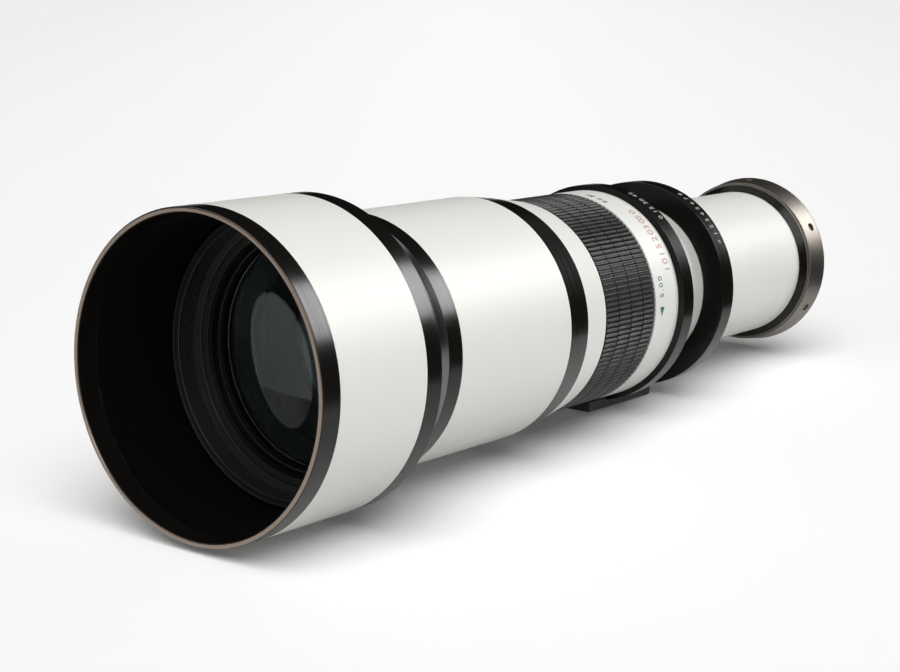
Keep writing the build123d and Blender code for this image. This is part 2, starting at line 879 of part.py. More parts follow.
def make_rear_element():
    """Rear glass of the lens, convex towards the camera."""
    radius = rear_tube_bore - rear_cell_wall - 2 * seat_gap
    front = rear_cell_front + rear_cell_wall + seat_gap
    clear = radius - rear_glass_rim
    return glass(front, front + rear_glass_edge, radius, clear, 0.0, rear_glass_curve)


def make_adapter_ring():
    """Inner metal ring of the adapter, screwed on the spigot, with a groove for the grub screws."""
    hub_bore = spigot_radius + seat_gap
    hub = hub_bore + adapter_ring_hub
    front = adapter_front + adapter_ring_front_gap
    rear = adapter_ring_rear - seat_gap
    rim_inner = adapter_ring_radius - adapter_ring_rim
    web_front_face = rear - adapter_ring_web
    half = grub_screw_radius + seat_gap
    groove_floor = adapter_radius - grub_screw_sink - grub_screw_length - seat_gap
    return turned([
        (front, hub_bore), (front, hub), (web_front_face, hub), (web_front_face, rim_inner),
        (front, rim_inner), (front, adapter_ring_radius),
        (grub_screw_x - half, adapter_ring_radius), (grub_screw_x - half, groove_floor),
        (grub_screw_x + half, groove_floor), (grub_screw_x + half, adapter_ring_radius),
        (rear, adapter_ring_radius), (rear, hub_bore),
    ])


def make_adapter_flange():
    """Bright outer adapter: a cup with six screw holes, the wide flange and a claw bayonet."""
    front = adapter_front + seat_gap
    cone_rear = front + adapter_radius - end_lip_radius
    plate_front = flange_face - flange_thickness
    throat_outer = throat_radius + throat_wall
    throat_rear = flange_face + throat_length
    body = turned([
        (front, adapter_bore), (front, end_lip_radius), (cone_rear, adapter_radius),
        (plate_front, adapter_radius), (plate_front, flange_radius - flange_bevel),
        (plate_front + flange_bevel, flange_radius), (flange_face, flange_radius),
        (flange_face, throat_outer), (throat_rear, throat_outer), (throat_rear, throat_radius),
        (plate_front, throat_radius), (plate_front, adapter_bore),
    ])
    hole_radius = grub_screw_radius + seat_gap
    low = adapter_bore - cut_over
    high = adapter_radius + cut_over
    for angle in around(grub_screw_count):
        body -= radial_pin(grub_screw_x, angle, low, high, hole_radius)
    for angle in around(claw_count):
        body += bayonet_claw(angle, throat_outer, throat_rear)
    return body


def bayonet_claw(angle, inner, rear):
    """Curved claw on the bayonet throat, which spans claw_angle."""
    front = rear - claw_thickness
    section = make_face(Polyline(
        (front, inner - claw_root), (front, inner + claw_height),
        (rear, inner + claw_height), (rear, inner - claw_root), close=True
    ))
    return Rot(angle, 0, 0) * revolve(section, Axis.X, claw_angle)


def make_adapter_screws():
    """Six slotted grub screws that clamp the outer adapter to its inner ring."""
    screws = []
    high = adapter_radius - grub_screw_sink
    for angle in around(grub_screw_count):
        screw = radial_pin(grub_screw_x, angle, high - grub_screw_length, high, grub_screw_radius)
        slot = Box(2 * (grub_screw_radius + cut_over), grub_slot_width, 2 * grub_slot_depth)
        screws.append(screw - Rot(angle, 0, 0) * Pos(grub_screw_x, 0, high) * slot)
    return Compound(children=screws)


nodes = {
    "hood_front_rim": make_hood_front_rim,
    "hood_shell": make_hood_shell,
    "hood_rear_rim": make_hood_rear_rim,
    "hood_liner": make_hood_liner,
    "hood_mount_ring": make_hood_mount_ring,
    "front_cell": make_front_cell,
    "front_retaining_ring": make_front_retaining_ring,
    "front_element": make_front_element,
    "element_spacer": make_element_spacer,
    "second_element": make_second_element,
    "front_band": make_front_band,
    "main_barrel": make_main_barrel,
    "light_baffle": make_light_baffle,
    "taper_band": make_taper_band,
    "name_band": make_name_band,
    "inner_barrel": make_inner_barrel,
    "rear_plate": make_rear_plate,
    "mid_tube": make_mid_tube,
    "lock_collet": make_lock_collet,
    "focus_sleeve": make_focus_sleeve,
    "focus_grip": make_focus_grip,
    "scale_ring": make_scale_ring,
    "focus_carriage": make_focus_carriage,
    "focus_pins": make_focus_pins,
    "focus_front_element": make_focus_front_element,
    "focus_retaining_ring": make_focus_retaining_ring,
    "focus_rear_element": make_focus_rear_element,
    "collar_ring": make_collar_ring,
    "tripod_foot": make_tripod_foot,
    "foot_screws": make_foot_screws,
    "collar_knob": make_collar_knob,
    "zoom_lock_ring": make_zoom_lock_ring,
    "rear_tube": make_rear_tube,
    "tube_keys": make_tube_keys,
    "zoom_carriage": make_zoom_carriage,
    "zoom_front_element": make_zoom_front_element,
    "zoom_rear_element": make_zoom_rear_element,
    "tube_end_ring": make_tube_end_ring,
    "rear_cell": make_rear_cell,
    "rear_element": make_rear_element,
    "adapter_ring": make_adapter_ring,
    "adapter_flange": make_adapter_flange,
    "adapter_screws": make_adapter_screws,
}

os.makedirs("parts", exist_ok=True)
for name, make in nodes.items():
    export_step(make(), f"parts/{name}.step")
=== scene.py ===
import math

import bmesh
import bpy
import numpy as np
from mathutils import Matrix, Vector


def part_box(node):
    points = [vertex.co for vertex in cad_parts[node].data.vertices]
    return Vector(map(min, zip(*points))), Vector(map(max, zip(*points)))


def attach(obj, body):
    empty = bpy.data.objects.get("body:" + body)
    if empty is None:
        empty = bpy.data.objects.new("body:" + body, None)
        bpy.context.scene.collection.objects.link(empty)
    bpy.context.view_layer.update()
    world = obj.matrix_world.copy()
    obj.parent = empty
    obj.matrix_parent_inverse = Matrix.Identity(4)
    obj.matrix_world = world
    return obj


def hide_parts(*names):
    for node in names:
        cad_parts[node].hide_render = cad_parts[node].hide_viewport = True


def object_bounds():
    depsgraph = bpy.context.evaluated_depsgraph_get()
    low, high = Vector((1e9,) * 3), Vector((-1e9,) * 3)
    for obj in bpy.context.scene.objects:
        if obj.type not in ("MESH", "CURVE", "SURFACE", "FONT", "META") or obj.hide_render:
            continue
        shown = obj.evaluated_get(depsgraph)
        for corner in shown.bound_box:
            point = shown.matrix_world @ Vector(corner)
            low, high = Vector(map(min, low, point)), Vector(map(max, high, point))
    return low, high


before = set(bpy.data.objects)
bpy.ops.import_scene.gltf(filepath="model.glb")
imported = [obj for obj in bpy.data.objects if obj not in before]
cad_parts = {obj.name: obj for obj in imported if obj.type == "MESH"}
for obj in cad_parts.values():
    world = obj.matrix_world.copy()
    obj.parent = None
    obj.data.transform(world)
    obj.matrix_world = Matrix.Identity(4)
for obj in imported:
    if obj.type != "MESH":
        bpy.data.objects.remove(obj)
cad_low, cad_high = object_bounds()

mm = 0.001

# Camera, in millimetres of the part's frame: where it stands and the way it looks
camera_place = (-907.6, -483.6, 150.4)
camera_aim = (0.7843, 0.5905, -0.1903)
camera_lens = 76.84
camera_sensor = 36.0
camera_clip = (0.05, 60.0)
floor_slope = math.radians(2.43)

# Roundings of turned edges, the fit between pieces, and the fineness of what shows most
sharp_edge = 0.05 * mm
fine_edge = 0.12 * mm
soft_edge = 0.3 * mm
rim_edge = 0.7 * mm
clearance = 0.05 * mm
weld_distance = 0.001 * mm
smooth_turn = 320
crease = math.radians(32)

# Hood: chamfer of its front lip, and the ridges in the sleeve of its mount ring
lip_chamfer = 0.5 * mm
ridge_count = 6
ridge_depth = 0.5 * mm
ridge_shape = ((0.15, 0.0), (0.45, 0.0), (0.5, 1.0), (0.95, 1.0))

# Filter thread
thread_pitch = 1.0 * mm
thread_depth = 0.35 * mm
thread_shape = ((0.15, 1.0), (0.55, 0.0), (0.65, 0.0))
thread_rounding = 0.03 * mm

# Glasses: thickness at the edge, radius of the curved faces, and chamfer of the edge
glass_edge = 5.0 * mm
glass_front_curve = 430.0 * mm
glass_back_curve = 412.0 * mm
second_edge = 6.0 * mm
second_curve = 390.0 * mm
rear_glass_edge = 3.6 * mm
rear_glass_curve = 110.0 * mm
glass_chamfer = 0.25 * mm

# Cone in front of the black front band: its length and its rise
band_cone = 2.6 * mm
band_cone_rise = 1.5 * mm

# Focus grip
grip_rows = 4
grip_ribs = 132
grip_border = 0.7 * mm
grip_row_gap = 0.45 * mm
grip_depth = 1.0 * mm

# Tripod collar: how far it stands above the scale ring
collar_step = 2.4 * mm

# Adapter: rise of its conical body, the screw holes, and the bayonet claws
adapter_rise = 1.6 * mm
hole_count = 6
hole_radius = 1.95 * mm
hole_rim = 2.25 * mm
hole_reach = 2.45 * mm
hole_depth = 1.3 * mm
hole_rings = np.array([0.0, 0.16, 0.32, 0.48, 0.64, 0.66, 0.7, 0.86, 1.0])
outside_hole = 9.0
claw_count = 3
claw_sweep = 54.0
claw_start = -90.0

# Marks: thickness of the ink
mark_lift = 0.06 * mm

# Floor: half its side, its glow, and the middle, turn and size of its pale ellipse, outside which it is
# darkened with painted shade
floor_half = 40.0
floor_glow = 0.08
floor_middle = (-0.15, 0.05, 0.0)
floor_turn = math.radians(37)
floor_painted_shade_scale = (12.0, 0.5)

# Room light: its strengths, and the lamps, each with its direction from the lens, distance,
# width, power and length
world_light = 0.85
back_light = 1.5
mouth_light = 9.0
lamps = {
    "soft_box": ((0.72, -0.485, 0.49), 3.0, 0.85, 52.0, 1.6),
    "fill_lamp": ((-0.55, -0.56, 0.58), 2.2, 1.6, 26.0, 1.6),
    "overhead_lamp": ((-0.2, 0.25, 0.9), 1.6, 1.8, 8.0, 1.8),
}
floor_power = 3.0
floor_direction = (-0.4, -0.35, 0.85)
floor_spread = math.radians(60)

# Black card: its ends in millimetres, and its lower and upper edge
card_ends = [(-300.0, -245.0), (1000.0, 325.0)]
card_low = -0.1
card_high = 0.03


def measure(node):
    """Front station, rear station, smallest and largest radius of a node, in metres."""
    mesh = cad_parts[node].data
    flat = np.empty(len(mesh.vertices) * 3, np.float32)
    mesh.vertices.foreach_get("co", flat)
    points = flat.reshape(-1, 3).astype(float)
    radii = np.hypot(points[:, 1], points[:, 2])
    values = (points[:, 0].min(), points[:, 0].max(), radii.min(), radii.max())
    return tuple(round(float(value), 6) for value in values)


# Surfaces


def rounded(corners, steps=4):
    """Closed outline of (station, radius) corners with round corners, and its normals.

    At a corner an arc touches both edges. Its normal turns in even steps from the normal of
    one edge to that of the next, and each point is the arc's centre plus the rounding times
    the normal, or minus it in a hollow corner. A corner may carry its own rounding, and
    an arc takes less than half of each edge.
    """
    table = np.array([(*corner, fine_edge)[:3] for corner in corners])
    place, radius = table[:, :2], table[:, 2]
    following = np.roll(place, -1, axis=0)
    if np.sum(place[:, 0] * following[:, 1] - following[:, 0] * place[:, 1]) < 0:
        place, radius = place[::-1], radius[::-1]
    ahead = np.roll(place, -1, axis=0) - place
    reach = np.linalg.norm(ahead, axis=1)
    ahead = ahead / reach[:, None]
    behind = np.roll(ahead, 1, axis=0)
    turn = np.arctan2(
        behind[:, 0] * ahead[:, 1] - behind[:, 1] * ahead[:, 0], np.sum(behind * ahead, axis=1)
    )
    half = np.maximum(np.tan(np.abs(turn) / 2), 1e-6)
    tangent = np.minimum(radius * half, 0.45 * np.minimum(reach, np.roll(reach, 1)))
    bend = (np.sign(turn) * tangent / half)[:, None]
    normal = np.stack([behind[:, 1], -behind[:, 0]], axis=1)
    centre = place - behind * tangent[:, None] - bend * normal
    angle = turn[:, None] * np.linspace(0, 1, steps + 1)
    turned_x = normal[:, :1] * np.cos(angle) - normal[:, 1:] * np.sin(angle)
    turned_y = normal[:, :1] * np.sin(angle) + normal[:, 1:] * np.cos(angle)
    normals = np.stack([turned_x, turned_y], axis=2)
    points = centre[:, None] + bend[:, None] * normals
    return points.reshape(-1, 2), normals.reshape(-1, 2)


def grid_mesh(name, points, normals, close_rows, close_columns):
    """Mesh of a grid of points with their normals, and a UV map in millimetres.

    Rows run along the outline and columns run round the axis. A closed direction joins its
    last line to its first. U is the arc length of the middle column and V that of the row.
    """
    rows, columns = points.shape[:2]
    row = np.arange(rows if close_rows else rows - 1)
    column = np.arange(columns if close_columns else columns - 1)
    r, c = np.meshgrid(row, column, indexing="ij")
    r_next, c_next = (r + 1) % rows, (c + 1) % columns
    corners = [(r, c), (r_next, c), (r_next, c_next), (r, c_next)]
    faces = np.stack([a * columns + b for a, b in corners], axis=2).reshape(-1, 4)
    mesh = bpy.data.meshes.new(name)
    mesh.vertices.add(rows * columns)
    mesh.vertices.foreach_set("co", points.reshape(-1).astype(np.float32))
    mesh.loops.add(faces.size)
    mesh.loops.foreach_set("vertex_index", faces.reshape(-1).astype(np.int32))
    mesh.polygons.add(len(faces))
    mesh.polygons.foreach_set("loop_start", np.arange(0, faces.size, 4, dtype=np.int32))
    mesh.polygons.foreach_set("use_smooth", np.ones(len(faces), bool))
    wrapped = np.concatenate([points, points[:1]])
    along = np.concatenate([[0], np.cumsum(np.linalg.norm(np.diff(wrapped[:, 0], axis=0), axis=1))])
    middle = np.concatenate([points[rows // 2], points[rows // 2, :1]])
    round_axis = np.concatenate([[0], np.cumsum(np.linalg.norm(np.diff(middle, axis=0), axis=1))])
    u = np.stack([round_axis[c], round_axis[c], round_axis[c + 1], round_axis[c + 1]], axis=2)
    v = np.stack([along[r], along[r + 1], along[r + 1], along[r]], axis=2)
    layer = mesh.uv_layers.new(name="surface")
    layer.data.foreach_set("uv", (np.stack([u, v], axis=3) / mm).reshape(-1).astype(np.float32))
    mesh.update(calc_edges=True)
    mesh.validate()
    if normals is not None:
        mesh.normals_split_custom_set_from_vertices(normals.reshape(-1, 3))
    return mesh


def placed(name, data):
    """Object of a mesh, lamp or camera, at the origin of the scene."""
    made = bpy.data.objects.new(name, data)
    bpy.context.scene.collection.objects.link(made)
    return made


def linked(name, mesh, materials):
    """Object of a mesh, at the origin, with its materials."""
    for material in materials:
        mesh.materials.append(material)
    return placed(name, mesh)


def flat_piece(name, corners, faces, material):
    """Object of a few corners and faces, with one material."""
    mesh = bpy.data.meshes.new(name)
    mesh.from_pydata(corners, [], faces)
    return linked(name, mesh, [material])


def about_axis(outline, angles):
    """Points of an outline turned about the lens axis, or its normals.

    (station, radius) at an angle from +Z towards -Y goes to
    (station, -radius times sine, radius times cosine).
    """
    station = np.broadcast_to(outline[:, :1], (len(outline), len(angles)))
    radius = outline[:, 1:]
    return np.stack([station, -radius * np.sin(angles), radius * np.cos(angles)], axis=2)


def turned(name, corners, materials, segments):
    """Closed ring with a rounded outline. A second material goes on what faces the axis."""
    outline, directions = rounded(corners)
    angles = np.arange(segments) * 2 * math.pi / segments
    normals = about_axis(directions, angles)
    mesh = grid_mesh(name, about_axis(outline, angles), normals, True, True)
    if len(materials) > 1:
        inward = ((directions + np.roll(directions, -1, axis=0))[:, 1] < -1.0).astype(np.int32)
        mesh.polygons.foreach_set("material_index", np.repeat(inward, segments))
    return linked(name, mesh, materials)


def dome(rim, clear, curve, side, count=40):
    """Points of a spherical face from the axis to its rim.

    The depth at a radius is the curve less the root of curve squared less radius squared.
    A negative curve is hollow. Side is -1 for a front face and 1 for a rear one.
    """
    radius = np.linspace(0, clear, count)
    deep = abs(curve) - math.sqrt(curve * curve - clear * clear)
    depth = abs(curve) - np.sqrt(curve * curve - radius * radius)
    station = rim + side * np.sign(curve) * (deep - depth)
    return np.stack([station, radius], axis=1)


def flat_face(station, clear):
    """Points of a flat round face."""
    return np.array([(station, 0.0), (station, clear / 2), (station, clear)])


def lens(name, front_face, rear_face, front, rear, radius, materials, segments=192):
    """Glass turned from a front face, a chamfered edge and a rear face, with closed poles.

    The materials are those of the front face, the rear face and the blackened edge.
    """
    cut = glass_chamfer
    edge = np.repeat([
        (front, radius - cut), (front + cut, radius), (rear - cut, radius), (rear, radius - cut),
    ], 2, axis=0)
    outline = np.concatenate([front_face, edge, rear_face[::-1]])[::-1]
    angles = np.arange(segments) * 2 * math.pi / segments
    mesh = grid_mesh(name, about_axis(outline, angles), None, False, True)
    place = np.arange(len(outline) - 1)
    front_start = len(place) - len(front_face)
    kind = np.where(place < len(rear_face), 1, np.where(place >= front_start, 0, 2))
    mesh.polygons.foreach_set("material_index", np.repeat(kind, segments).astype(np.int32))
    weld(mesh)
    mesh.shade_smooth()
    return linked(name, mesh, materials)


def weld(mesh):
    """Merges the vertices that share a place, such as those of a pole."""
    work = bmesh.new()
    work.from_mesh(mesh)
    bmesh.ops.remove_doubles(work, verts=work.verts, dist=weld_distance)
    bmesh.ops.dissolve_degenerate(work, dist=weld_distance / 10, edges=work.edges)
    work.to_mesh(mesh)
    work.free()


# Materials


def new_material(name, base, roughness, metallic=0.0):
    """Material with a principled shader, and handles to its tree."""
    material = bpy.data.materials.new(name)
    material.use_nodes = True
    tree = material.node_tree
    shader = tree.nodes["Principled BSDF"]
    shader.inputs["Base Color"].default_value = (*base, 1.0)
    shader.inputs["Roughness"].default_value = roughness
    shader.inputs["Metallic"].default_value = metallic
    return material, tree, shader


def node(tree, kind, **settings):
    """New node with its settings."""
    made = tree.nodes.new(kind)
    for key, value in settings.items():
        setattr(made, key, value)
    return made


def math_node(tree, operation, first, second):
    """Math node whose inputs are sockets or plain numbers."""
    made = node(tree, "ShaderNodeMath", operation=operation)
    for socket, value in zip(made.inputs, (first, second)):
        if isinstance(value, (int, float)):
            socket.default_value = value
        else:
            tree.links.new(value, socket)
    return made.outputs[0]


def object_place(tree):
    """Object coordinates."""
    return node(tree, "ShaderNodeTexCoord").outputs["Object"]


def object_axes(tree):
    """X, Y and Z of the object coordinates."""
    split = node(tree, "ShaderNodeSeparateXYZ")
    tree.links.new(object_place(tree), split.inputs[0])
    return split.outputs


def axis_distance(tree, y, z):
    """Distance from the lens axis: the root of Y squared plus Z squared."""
    squares = math_node(
        tree, "ADD", math_node(tree, "MULTIPLY", y, y), math_node(tree, "MULTIPLY", z, z)
    )
    return math_node(tree, "SQRT", squares, 0.0)


def lathe_place(tree, fine, coarse):
    """Coordinates for marks left by turning: fine across the cut and coarse along it.

    The fine coordinate is the station plus the distance from the axis, so that the lines run
    round the axis on a cylinder, a cone and a flat face alike.
    """
    x, y, z = object_axes(tree)
    across = math_node(tree, "ADD", x, axis_distance(tree, y, z))
    place = node(tree, "ShaderNodeCombineXYZ")
    for socket, value, scale in zip(place.inputs, (across, y, z), (fine, coarse, coarse)):
        tree.links.new(math_node(tree, "MULTIPLY", value, scale), socket)
    return place.outputs[0]


def noise(tree, place, scale, detail=3.0, roughness=0.55):
    """Noise value at a place."""
    made = node(tree, "ShaderNodeTexNoise")
    made.inputs["Scale"].default_value = scale
    made.inputs["Detail"].default_value = detail
    made.inputs["Roughness"].default_value = roughness
    tree.links.new(place, made.inputs["Vector"])
    return made.outputs["Fac"]


def remap(tree, value, low, high, from_low=0.3, from_high=0.7):
    """Value carried from one range to another."""
    made = node(tree, "ShaderNodeMapRange")
    made.inputs["From Min"].default_value = from_low
    made.inputs["From Max"].default_value = from_high
    made.inputs["To Min"].default_value = low
    made.inputs["To Max"].default_value = high
    tree.links.new(value, made.inputs["Value"])
    return made.outputs["Result"]


def blend_colour(tree, share, first, second):
    """Colour between two colours or sockets."""
    made = node(tree, "ShaderNodeMix", data_type="RGBA")
    tree.links.new(share, made.inputs["Factor"])
    for socket, value in ((made.inputs[6], first), (made.inputs[7], second)):
        if isinstance(value, tuple):
            socket.default_value = (*value, 1.0)
        else:
            tree.links.new(value, socket)
    return made.outputs[2]


def add_bump(tree, shader, height, distance, strength=1.0):
    """Bump of a height, in metres, on a shader."""
    made = node(tree, "ShaderNodeBump")
    made.inputs["Strength"].default_value = strength
    made.inputs["Distance"].default_value = distance
    tree.links.new(height, made.inputs["Height"])
    tree.links.new(made.outputs["Normal"], shader.inputs["Normal"])


def colour_between(tree, shader, share, first, second):
    """Gives a shader a base colour between two colours."""
    tree.links.new(blend_colour(tree, share, first, second), shader.inputs["Base Color"])


def roughness_between(tree, shader, share, low, high):
    """Gives a shader a roughness between two values."""
    tree.links.new(remap(tree, share, low, high), shader.inputs["Roughness"])


def scaled(colour, factor):
    """Colour with each channel multiplied."""
    return tuple(factor * channel for channel in colour)


def white_paint():
    """Satin white enamel with a fine pearl grain."""
    material, tree, shader = new_material("white_enamel", (0.83, 0.835, 0.79), 0.44)
    broad = noise(tree, object_place(tree), 25.0)
    grain = noise(tree, object_place(tree), 1500.0, detail=2.0)
    colour_between(tree, shader, broad, (0.815, 0.82, 0.775), (0.845, 0.85, 0.805))
    roughness_between(tree, shader, grain, 0.4, 0.5)
    add_bump(tree, shader, grain, 0.03 * mm, 0.6)
    return material


def black_anodised(name="black_anodising"):
    """Satin black anodising over a turned surface."""
    base = (0.0055, 0.005, 0.0043)
    material, tree, shader = new_material(name, base, 0.21)
    shader.inputs["IOR"].default_value = 1.42
    shader.inputs["Specular IOR Level"].default_value = 0.28
    lines = noise(tree, lathe_place(tree, 2600.0, 9.0), 1.0, detail=4.0)
    cloud = noise(tree, object_place(tree), 60.0)
    roughness_between(tree, shader, lines, 0.16, 0.27)
    colour_between(tree, shader, cloud, base, scaled(base, 1.35))
    add_bump(tree, shader, lines, 0.003 * mm, 0.7)
    return material


def worn_black(name, start, end, metal):
    """Black anodising that fades to a bare metal in front of a station."""
    material = black_anodised(name)
    tree = material.node_tree
    shader = tree.nodes["Principled BSDF"]
    share = remap(tree, object_axes(tree)[0], 1.0, 0.0, start, end)
    dark = shader.inputs["Base Color"].links[0].from_socket
    colour_between(tree, shader, share, dark, metal)
    tree.links.new(share, shader.inputs["Metallic"])
    return material


def bronze_lip(front):
    """Finish of the hood's front rim, bronze on its front face."""
    return worn_black("bronze_lip", front + 0.09 * mm, front + 0.34 * mm, (0.27, 0.215, 0.175))


def step_black(front):
    """Finish of the front band, bare satin metal on the cone in front of a station."""
    return worn_black("step_black", front - 0.1 * mm, front + 0.1 * mm, (0.16, 0.16, 0.155))


def matt_black():
    """Matt black paint on the inner turned pieces."""
    material, tree, shader = new_material("matt_black_paint", (0.018, 0.018, 0.0175), 0.42)
    lines = noise(tree, lathe_place(tree, 1800.0, 12.0), 1.0)
    roughness_between(tree, shader, lines, 0.36, 0.5)
    colour_between(tree, shader, lines, (0.014, 0.014, 0.0135), (0.023, 0.023, 0.022))
    add_bump(tree, shader, lines, 0.006 * mm, 0.6)
    return material


def black_with_painted_shade_in_hollows(crest, lip):
    """Matt black with painted shade: dead black and rougher in the hollows between two distances from the
    axis.
    """
    material = matt_black()
    tree = material.node_tree
    shader = tree.nodes["Principled BSDF"]
    _, y, z = object_axes(tree)
    distance = axis_distance(tree, y, z)
    past_crest = remap(tree, distance, 0.0, 1.0, crest + 0.04 * mm, crest + 0.1 * mm)
    within_lip = remap(tree, distance, 1.0, 0.0, lip - 0.65 * mm, lip - 0.55 * mm)
    # Painted shade: the hollows between the ridges are coloured dead black.
    hollow = math_node(tree, "MULTIPLY", past_crest, within_lip)
    light = shader.inputs["Base Color"].links[0].from_socket
    colour_between(tree, shader, hollow, light, (0.001, 0.001, 0.001))
    tree.links.new(remap(tree, hollow, 0.42, 0.9, 0.0, 1.0), shader.inputs["Roughness"])
    return material


def deep_black():
    """Dead black of the threads, the stops and the glasses' edges."""
    material, tree, shader = new_material("deep_black", (0.003, 0.003, 0.003), 0.6)
    shader.inputs["Specular IOR Level"].default_value = 0.08
    lines = noise(tree, lathe_place(tree, 1800.0, 12.0), 1.0)
    roughness_between(tree, shader, lines, 0.5, 0.7)
    colour_between(tree, shader, lines, (0.002, 0.002, 0.002), (0.0045, 0.0045, 0.0042))
    return material


def black_flock():
    """Flocked lining that swallows light."""
    material, tree, shader = new_material("black_flock", (0.001, 0.001, 0.001), 1.0)
    shader.inputs["Specular IOR Level"].default_value = 0.1
    fibre = noise(tree, object_place(tree), 2500.0)
    colour_between(tree, shader, fibre, (0.0005, 0.0005, 0.0005), (0.0014, 0.0014, 0.0014))
    add_bump(tree, shader, fibre, 0.05 * mm)
    return material


def grip_rubber():
    """Black rubber with a dusty sheen on its ribs."""
    material, tree, shader = new_material("ribbed_rubber", (0.01, 0.01, 0.0095), 0.45)
    speck = noise(tree, object_place(tree), 1800.0)
    cloud = noise(tree, object_place(tree), 90.0)
    colour_between(tree, shader, cloud, (0.008, 0.008, 0.0075), (0.0125, 0.0125, 0.012))
    roughness_between(tree, shader, speck, 0.38, 0.52)
    add_bump(tree, shader, speck, 0.02 * mm)
    return material


def coated_glass(name, tint, coating):
    """Polished glass with a tint, and a coating that colours what it reflects."""
    material, tree, shader = new_material(name, tint, 0.0)
    shader.inputs["Transmission Weight"].default_value = 1.0
    shader.inputs["IOR"].default_value = 1.55
    shader.inputs["Specular Tint"].default_value = (*coating, 1.0)
    streak = noise(tree, object_place(tree), 8.0)
    colour_between(tree, shader, streak, tint, scaled(tint, 0.94))
    return material


def bright_metal(name, base, roughness):
    """Turned bright metal."""
    material, tree, shader = new_material(name, base, roughness, metallic=1.0)
    lines = noise(tree, lathe_place(tree, 3000.0, 10.0), 1.0, detail=4.0)
    roughness_between(tree, shader, lines, roughness - 0.05, roughness + 0.07)
    colour_between(tree, shader, lines, scaled(base, 0.8), base)
    add_bump(tree, shader, lines, 0.004 * mm, 0.8)
    return material


def powder_coat():
    """Black powder coat on the foot."""
    material, tree, shader = new_material("black_powder_coat", (0.006, 0.006, 0.006), 0.5)
    grain = noise(tree, object_place(tree), 1300.0)
    roughness_between(tree, shader, grain, 0.38, 0.52)
    colour_between(tree, shader, grain, (0.011, 0.011, 0.011), (0.018, 0.018, 0.018))
    add_bump(tree, shader, grain, 0.03 * mm)
    return material


def marking_ink(name, base):
    """Printed ink, slightly uneven."""
    material, tree, shader = new_material(name, base, 0.5)
    uneven = noise(tree, object_place(tree), 900.0)
    colour_between(tree, shader, uneven, scaled(base, 0.85), base)
    return material


white = white_paint()
black = black_anodised()
bore_black = matt_black()
flock = black_flock()
thread_black = deep_black()
bare_inside = bright_metal("bare_inside", (0.34, 0.335, 0.32), 0.6)
rubber = grip_rubber()
foot_coat = powder_coat()
nickel = bright_metal("bright_nickel", (0.24, 0.22, 0.195), 0.42)
steel = bright_metal("screw_steel", (0.55, 0.53, 0.50), 0.3)
aluminium = bright_metal("turned_aluminium", (0.62, 0.62, 0.62), 0.35)
front_glass = coated_glass("front_coated_glass", (0.87, 0.97, 0.98), (0.15, 0.31, 0.35))
rear_face_glass = coated_glass("rear_face_glass", (0.87, 0.97, 0.98), (1.0, 1.0, 0.93))
inner_glass = coated_glass("inner_coated_glass", (0.92, 0.97, 0.94), (0.12, 0.25, 0.28))
green_ink = marking_ink("green_ink", (0.015, 0.22, 0.13))
red_ink = marking_ink("red_ink", (0.55, 0.32, 0.28))
white_ink = marking_ink("white_ink", (0.5, 0.5, 0.485))


def dressed(piece, body, *nodes):
    """Lets a piece ride on a body and stand for its nodes."""
    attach(piece, body)
    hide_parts(*nodes)


def turned_piece(name, body, node, corners, materials, segments=256):
    """Turned ring that rides on a body and stands for a node."""
    dressed(turned(name, corners, materials, segments), body, node)


def repeated(shape, count, end, pitch, radius, depth, rounding):
    """Corners of a groove's shape, repeated from an end towards the front.

    The shape is pairs of a share of the pitch and a share of the depth.
    """
    return [
        (end - index * pitch - along * pitch, radius + deep * depth, rounding)
        for index in range(count) for along, deep in shape
    ]


def plain_ring(node, front_edge=fine_edge, rear_edge=fine_edge):
    """Corners of a plain ring that fills a node, with the roundings of its outer edges."""
    front, rear, inner, outer = measure(node)
    return [(front, inner), (front, outer, front_edge), (rear, outer, rear_edge), (rear, inner)]


# Hood


def hood_pieces():
    """Rims, shell, liner and the mount ring with its ridged light-trap sleeve."""
    front, rear, inner, outer = measure("hood_front_rim")
    turned_piece("front_rim", "hood", "hood_front_rim", [
        (front, inner + lip_chamfer, fine_edge), (front, outer, rim_edge), (rear, outer),
        (rear, inner), (front + lip_chamfer, inner, fine_edge),
    ], [bronze_lip(front)], smooth_turn)

    turned_piece("hood_tube", "hood", "hood_shell", plain_ring("hood_shell"), [white, flock], smooth_turn)
    rear_rim = plain_ring("hood_rear_rim", rear_edge=rim_edge)
    turned_piece("rear_rim", "hood", "hood_rear_rim", rear_rim, [black], smooth_turn)
    turned_piece("liner", "hood", "hood_liner", plain_ring("hood_liner"), [flock])
    mount_ring()


